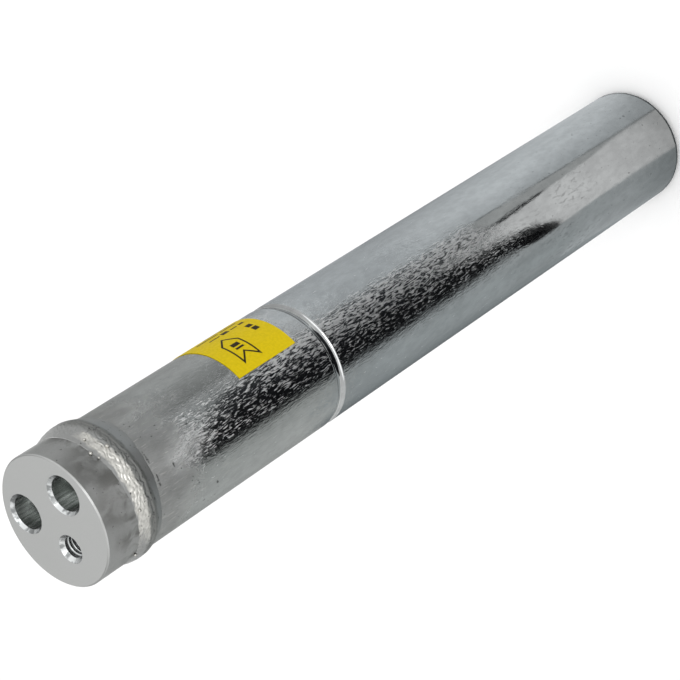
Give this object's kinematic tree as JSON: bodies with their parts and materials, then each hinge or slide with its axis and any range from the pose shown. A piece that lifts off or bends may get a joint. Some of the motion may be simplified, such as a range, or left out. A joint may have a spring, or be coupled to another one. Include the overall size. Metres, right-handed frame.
{
  "type": "filter drier",
  "caption": "Slim aluminium receiver filter drier: round canister with a flat closed end, rolled groove, girth weld and a port block with side by side ports and a threaded hole.",
  "frame": {"origin": "centre of the closed end's flat face", "axes": "+Z along the canister to the port face; the threaded hole lies towards -Y and the two ports lie along X, towards +Y"},
  "size_m": [0.0448, 0.0448, 0.304],
  "materials": {
    "drawn_aluminium": "brushed bare metal",
    "machined_aluminium": "satin machined",
    "weld_metal": "bright rippled bead",
    "yellow_label": "coated paper",
    "tube_aluminium": "bare metal",
    "spring_steel": "drawn wire",
    "plated_steel": "pressed sheet",
    "wire_mesh": "woven mesh",
    "white_felt": "needled felt",
    "desiccant": "small beads",
    "moulded_nylon": "moulded"
  },
  "bodies": {
    "root": {"canister_shell": "drawn_aluminium", "port_block": "machined_aluminium", "girth_weld": "weld_metal", "flow_sticker": "yellow_label", "pickup_tube": "tube_aluminium", "compression_spring": "spring_steel", "upper_plate": "plated_steel", "lower_plate": "plated_steel", "upper_screen": "wire_mesh", "lower_screen": "wire_mesh", "upper_felt_pad": "white_felt", "lower_felt_pad": "white_felt", "desiccant_beads": "desiccant", "strainer_cage": "moulded_nylon", "strainer_mesh": "wire_mesh"}
  },
  "joints": []
}
